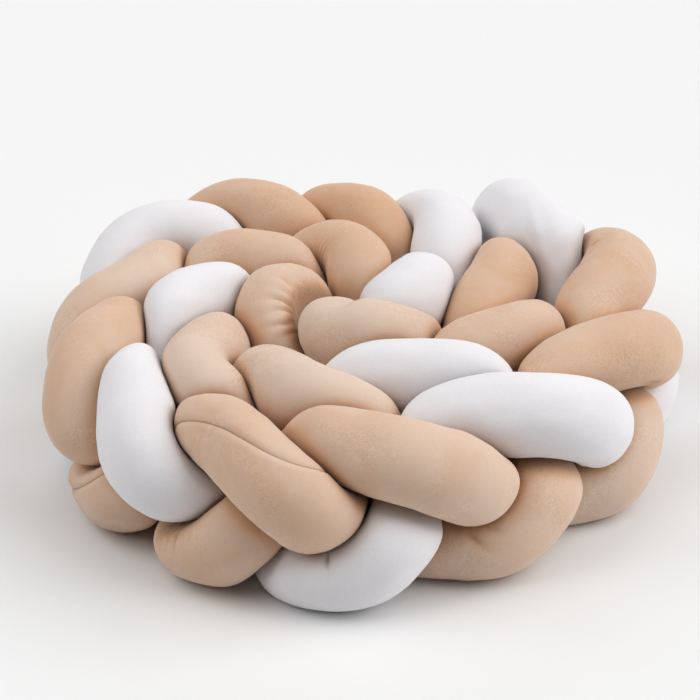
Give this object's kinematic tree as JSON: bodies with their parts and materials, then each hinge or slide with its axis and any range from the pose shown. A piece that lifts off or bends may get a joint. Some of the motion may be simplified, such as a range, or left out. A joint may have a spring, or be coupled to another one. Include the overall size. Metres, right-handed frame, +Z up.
{
  "type": "braided crib bumper",
  "caption": "Crib bumper of stuffed velvet tubes plaited into a thick padded braid, lying rolled up in a flat coil, in white and beige.",
  "frame": {"origin": "on the floor, under the middle of the coil's bounding box", "axes": "+Z up; -Y is the side that the picture shows in front; the coil's free outer end is at the back right, +X and +Y"},
  "size_m": [0.6492, 0.6328, 0.1886],
  "materials": {
    "white_velvet": "short soft velvet pile, matt, cool white",
    "beige_velvet": "short soft velvet pile, matt, warm beige"
  },
  "bodies": {
    "root": {"strand_white": "white_velvet", "strand_beige_b": "beige_velvet", "strand_beige_c": "beige_velvet"}
  },
  "joints": []
}
